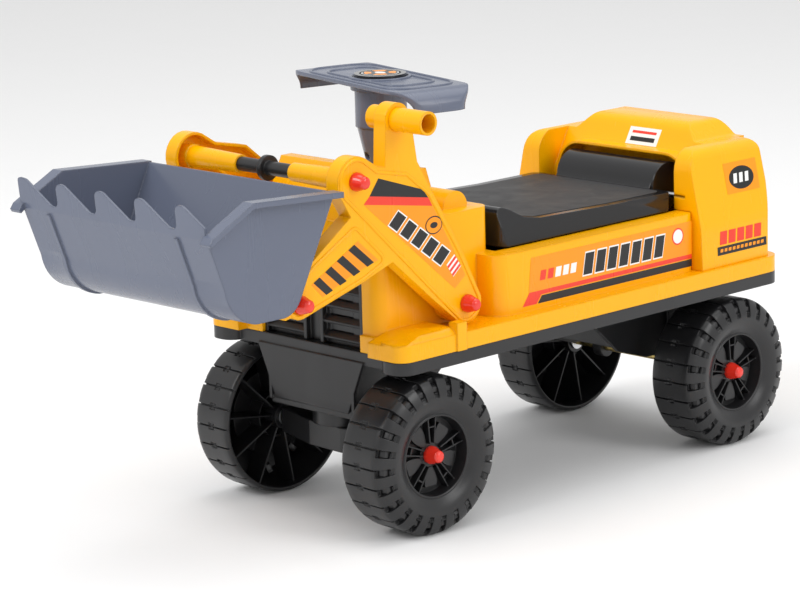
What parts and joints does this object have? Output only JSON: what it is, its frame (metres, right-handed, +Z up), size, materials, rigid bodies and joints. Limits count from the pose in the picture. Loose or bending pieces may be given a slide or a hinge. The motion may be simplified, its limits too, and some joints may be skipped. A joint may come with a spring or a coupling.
{
  "type": "ride on digger",
  "caption": "Child's ride-on loader digger with a lid seat over a storage box, steered front axle, lever-worked arms and a tipping toothed bucket.",
  "frame": {"origin": "on the ground, below the middle of the bounding box", "axes": "+X to the digger's left, -Y to its front (the bucket), +Z up; the wheels stand on z = 0"},
  "size_m": [0.3156, 0.814, 0.434],
  "materials": {
    "body_yellow": "glossy moulded, fine texture",
    "grey_plastic": "semi-gloss moulded",
    "black_plastic": "satin moulded",
    "seat_black": "satin with a grained top",
    "gloss_black": "gloss moulded",
    "wheel_black": "semi-gloss blow moulded",
    "cap_red": "gloss moulded",
    "axle_steel": "yellow zinc plated",
    "zinc_steel": "bright zinc plated",
    "brass_screw": "yellow passivated",
    "white_plastic": "plain moulded"
  },
  "bodies": {
    "frame": {"chassis": "black_plastic", "body_shell": "body_yellow", "front_grille": "black_plastic", "rear_cab": "body_yellow", "storage_box": "black_plastic", "seat_hinge_pin": "zinc_steel", "column_bush_lower": "white_plastic", "column_bush_upper": "white_plastic", "pivot_pins": "zinc_steel", "pivot_caps": "cap_red", "rear_axle": "axle_steel", "rear_axle_washers": "zinc_steel", "rear_hub_caps": "cap_red", "shell_screws": "zinc_steel", "cab_screws": "zinc_steel"},
    "steering": {"steering_shaft": "zinc_steel", "drop_arm": "black_plastic", "rear_link_clip": "zinc_steel", "steering_column": "grey_plastic", "column_screw": "brass_screw", "steering_wheel": "grey_plastic", "horn_sounder": "white_plastic"},
    "horn": {"horn_button": "gloss_black"},
    "front_axle": {"front_axle_block": "black_plastic", "front_axle": "axle_steel", "front_axle_washers": "zinc_steel", "front_hub_caps": "cap_red", "pivot_collar": "zinc_steel", "front_link_clip": "zinc_steel"},
    "link": {"steering_link": "zinc_steel"},
    "front_left_wheel": {"wheel_front_left": "wheel_black"},
    "front_right_wheel": {"wheel_front_right": "wheel_black"},
    "rear_left_wheel": {"wheel_rear_left": "wheel_black"},
    "rear_right_wheel": {"wheel_rear_right": "wheel_black"},
    "loader": {"left_arm": "body_yellow", "right_arm": "body_yellow", "grip_tube": "body_yellow", "crossbar_sleeve": "black_plastic", "crossbar_rod": "zinc_steel", "crossbar_caps": "cap_red", "bucket_pins": "zinc_steel", "bucket_pin_caps": "cap_red"},
    "bucket": {"bucket": "grey_plastic"},
    "seat_lid": {"seat_lid": "seat_black"}
  },
  "joints": [
    {"name": "steering_turn", "type": "hinge", "parent": "frame", "child": "steering", "pos_m": [-0.0082, -0.051, 0.3], "axis": [0, 0, 1], "range_deg": [-17, 23]},
    {"name": "horn_press", "type": "slide", "parent": "steering", "child": "horn", "axis": [0, 0, -1], "range_m": [0, 0.002], "stiffness_N_per_m": 300, "springref_m": -0.002},
    {"name": "front_axle_turn", "type": "hinge", "parent": "frame", "child": "front_axle", "pos_m": [-0.0082, -0.116, 0.11], "axis": [0, 0, 1], "range_deg": [-17, 23]},
    {"name": "link_turn", "type": "hinge", "parent": "steering", "child": "link", "pos_m": [0.01976, -0.05247, 0.141], "axis": [0, 0, 1], "range_deg": [-23, 17]},
    {"name": "front_left_roll", "type": "hinge", "parent": "front_axle", "child": "front_left_wheel", "pos_m": [-0.0082, -0.116, 0.079], "axis": [0.9986, -0.0523, 0], "continuous": true},
    {"name": "front_right_roll", "type": "hinge", "parent": "front_axle", "child": "front_right_wheel", "pos_m": [-0.0082, -0.116, 0.079], "axis": [0.9986, -0.0523, 0], "continuous": true},
    {"name": "rear_left_roll", "type": "hinge", "parent": "frame", "child": "rear_left_wheel", "pos_m": [-0.0082, 0.328, 0.079], "axis": [1, 0, 0], "continuous": true},
    {"name": "rear_right_roll", "type": "hinge", "parent": "frame", "child": "rear_right_wheel", "pos_m": [-0.0082, 0.328, 0.079], "axis": [1, 0, 0], "continuous": true},
    {"name": "loader_lift", "type": "hinge", "parent": "frame", "child": "loader", "pos_m": [-0.0082, -0.061, 0.2185], "axis": [1, 0, 0], "range_deg": [-2, 30]},
    {"name": "bucket_tip", "type": "hinge", "parent": "loader", "child": "bucket", "pos_m": [-0.0082, -0.281, 0.2545], "axis": [1, 0, 0], "range_deg": [-5, 60]},
    {"name": "lid_open", "type": "hinge", "parent": "frame", "child": "seat_lid", "pos_m": [-0.0082, 0.282, 0.272], "axis": [-1, 0, 0], "range_deg": [0, 50]}
  ],
  "couplings": [
    {"joint": "front_axle_turn", "follows": "steering_turn", "ratio": 1},
    {"joint": "link_turn", "follows": "steering_turn", "ratio": -1}
  ]
}
